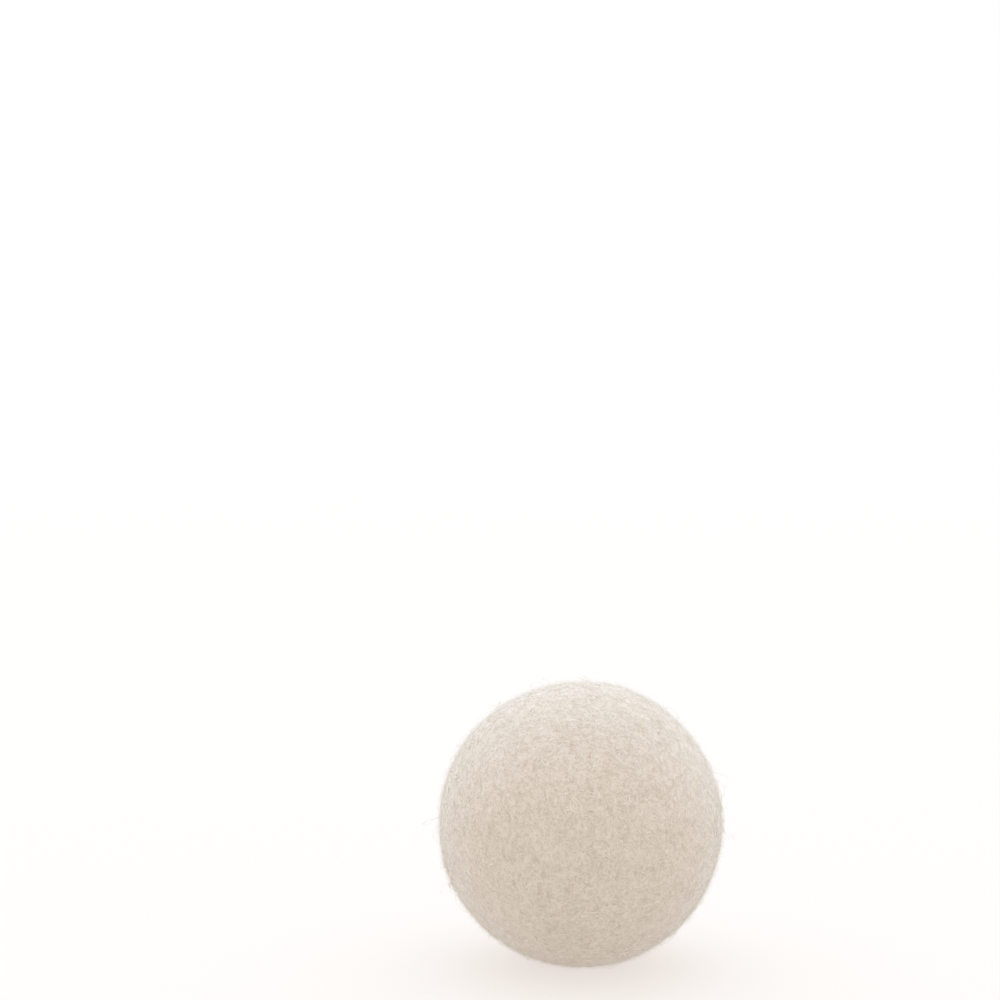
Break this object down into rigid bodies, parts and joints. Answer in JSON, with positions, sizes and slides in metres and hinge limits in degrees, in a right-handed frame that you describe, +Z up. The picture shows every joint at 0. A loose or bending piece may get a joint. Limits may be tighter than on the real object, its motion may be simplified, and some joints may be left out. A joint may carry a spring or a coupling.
{
  "type": "dryer ball",
  "caption": "Round felted wool ball with a rolled core under crosswise wool layers, tumbled with laundry in a dryer.",
  "frame": {"origin": "middle of the small flat face that the ball rests on", "axes": "+Z up through the ball's middle; +X along its widest way, +Y along its depth; the core is rolled up about X"},
  "size_m": [0.075, 0.0746, 0.0739],
  "materials": {
    "felted_skin": "matted cream wool felt with a short fuzz",
    "wool_wrap": "lightly felted cream wool batt",
    "wool_core": "tightly rolled carded wool"
  },
  "bodies": {
    "root": {"skin_a": "felted_skin", "skin_b": "felted_skin", "outer_wrap_a": "wool_wrap", "outer_wrap_b": "wool_wrap", "middle_wrap_a": "wool_wrap", "middle_wrap_b": "wool_wrap", "inner_wrap_a": "wool_wrap", "inner_wrap_b": "wool_wrap", "core_wrap_a": "wool_wrap", "core_wrap_b": "wool_wrap", "core_roll": "wool_core"}
  },
  "joints": []
}
